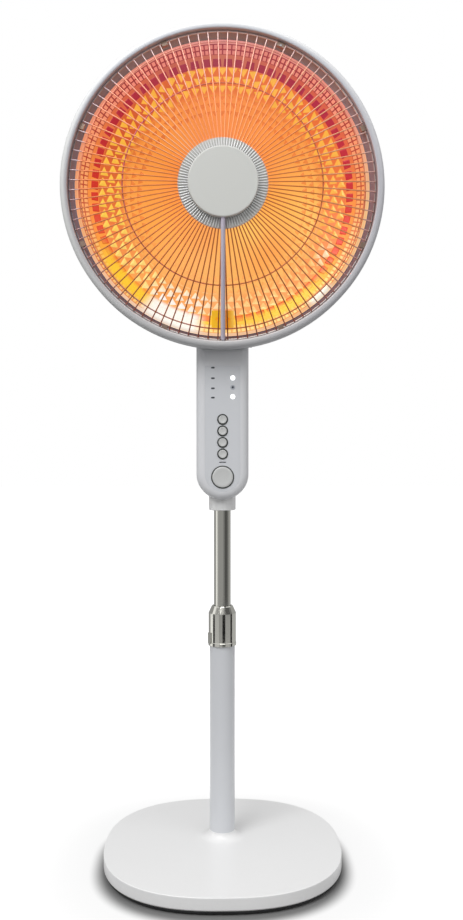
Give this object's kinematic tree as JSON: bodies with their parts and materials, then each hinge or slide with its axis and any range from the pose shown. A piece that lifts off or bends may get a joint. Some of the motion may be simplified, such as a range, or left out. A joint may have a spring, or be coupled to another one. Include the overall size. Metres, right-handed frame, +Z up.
{
  "type": "oscillating carbon heater",
  "caption": "Free-standing carbon heater: round wire-guarded reflector head that tilts and swings on a control column, over a telescopic pole and a flat rounded-square base.",
  "frame": {"origin": "middle of the base at floor level, on the underside of the rubber feet", "axes": "+Z up, -Y to the front that the reflector faces, +X to the right seen from the front"},
  "size_m": [0.4039, 0.305, 1.064],
  "materials": {
    "white_gloss": "glossy white moulded plastic",
    "ballast_iron": "rough cast slab",
    "black_plastic": "fine matt black moulding",
    "black_rubber": "matt rubber",
    "zinc_steel": "zinc-plated steel",
    "grey_nylon": "satin nylon",
    "white_paint": "white enamelled steel",
    "chrome": "polished chrome plate",
    "column_plastic": "pale cool-grey satin moulding",
    "panel_grey": "fine satin film",
    "lamp_lens": "frosted lens, lit white",
    "board_green": "printed board",
    "fibre": "pressed fibre",
    "button_grey": "satin silver-grey moulding",
    "shell_plastic": "pale grey enamelled sheet",
    "reflector_metal": "bright embossed aluminium lit orange by the element",
    "ring_plastic": "warm pale-grey satin moulding",
    "guard_wire": "bright plated wire",
    "guard_clip": "bent steel clip",
    "hub_metal": "pale grey enamelled steel",
    "conduit_metal": "silver enamelled tube",
    "quartz": "clear quartz",
    "carbon": "glowing carbon braid",
    "ceramic": "glazed ceramic",
    "ochre_ceramic": "ochre glazed ceramic"
  },
  "bodies": {
    "root": {"base_shell": "white_gloss", "base_weight": "ballast_iron", "base_plate": "black_plastic", "base_feet": "black_rubber", "base_screws": "zinc_steel", "pole_bolt": "zinc_steel", "pole_plug": "grey_nylon", "outer_pole": "white_paint", "collet": "grey_nylon"},
    "collar": {"lock_collar": "chrome"},
    "slider": {"inner_tube": "chrome", "tube_guide": "grey_nylon", "neck": "white_gloss", "neck_screw": "zinc_steel", "swing_plate": "zinc_steel", "swing_screw": "zinc_steel"},
    "column": {"housing_front": "column_plastic", "housing_rear": "column_plastic", "control_panel": "panel_grey", "lamp_lenses": "lamp_lens", "circuit_board": "board_green", "tact_switches": "black_plastic", "swivel_bearing": "grey_nylon", "swing_motor": "zinc_steel", "inner_screws": "zinc_steel", "tip_over_switch": "black_plastic", "housing_screws": "zinc_steel", "cord_gland": "black_rubber", "tilt_yoke": "zinc_steel", "friction_washers": "fibre", "tilt_bolt": "zinc_steel"},
    "crank": {"motor_shaft": "zinc_steel", "crank_arm": "grey_nylon"},
    "key_1": {"button_1": "button_grey"},
    "key_2": {"button_2": "button_grey"},
    "key_3": {"button_3": "button_grey"},
    "key_4": {"button_4": "button_grey"},
    "key_power": {"button_power": "button_grey"},
    "knob": {"tilt_knob": "black_plastic"},
    "head": {"tilt_bracket": "column_plastic", "back_shell": "shell_plastic", "reflector": "reflector_metal", "front_ring": "ring_plastic", "guard_wires": "guard_wire", "guard_hoops": "guard_wire", "guard_clips": "guard_clip", "head_screws": "zinc_steel", "hub_disc": "hub_metal", "hub_cap": "hub_metal", "conduit": "conduit_metal", "element_leads": "fibre", "heat_shield": "hub_metal", "element_tube": "quartz", "carbon_filament": "carbon", "element_caps": "ceramic", "element_clips": "zinc_steel", "terminal_block": "ochre_ceramic", "shell_screws": "zinc_steel"}
  },
  "joints": [
    {"name": "collar_turn", "type": "hinge", "parent": "root", "child": "collar", "pos_m": [0, 0.023, 0.3], "axis": [0, 0, 1], "range_deg": [0, 180]},
    {"name": "height_slide", "type": "slide", "parent": "root", "child": "slider", "axis": [0, 0, 1], "range_m": [-0.115, 0.075]},
    {"name": "swivel", "type": "hinge", "parent": "slider", "child": "column", "pos_m": [0, 0.023, 0.484], "axis": [0, 0, 1], "range_deg": [-35, 35]},
    {"name": "crank_turn", "type": "hinge", "parent": "column", "child": "crank", "pos_m": [0, 0.036, 0.495], "axis": [0, 0, 1], "range_deg": [-113, 113]},
    {"name": "tilt", "type": "hinge", "parent": "column", "child": "head", "pos_m": [0, 0.023, 0.676], "axis": [1, 0, 0], "range_deg": [-20, 5]},
    {"name": "knob_turn", "type": "hinge", "parent": "column", "child": "knob", "pos_m": [0.036, 0.023, 0.676], "axis": [1, 0, 0], "range_deg": [-360, 0]},
    {"name": "press_1", "type": "slide", "parent": "column", "child": "key_1", "axis": [0, 1, 0], "range_m": [0, 0.001], "stiffness_N_per_m": 800},
    {"name": "press_2", "type": "slide", "parent": "column", "child": "key_2", "axis": [0, 1, 0], "range_m": [0, 0.001], "stiffness_N_per_m": 800},
    {"name": "press_3", "type": "slide", "parent": "column", "child": "key_3", "axis": [0, 1, 0], "range_m": [0, 0.001], "stiffness_N_per_m": 800},
    {"name": "press_4", "type": "slide", "parent": "column", "child": "key_4", "axis": [0, 1, 0], "range_m": [0, 0.001], "stiffness_N_per_m": 800},
    {"name": "press_power", "type": "slide", "parent": "column", "child": "key_power", "axis": [0, 1, 0], "range_m": [0, 0.001], "stiffness_N_per_m": 800}
  ],
  "couplings": [
    {"joint": "crank_turn", "follows": "swivel", "ratio": -3.2}
  ]
}
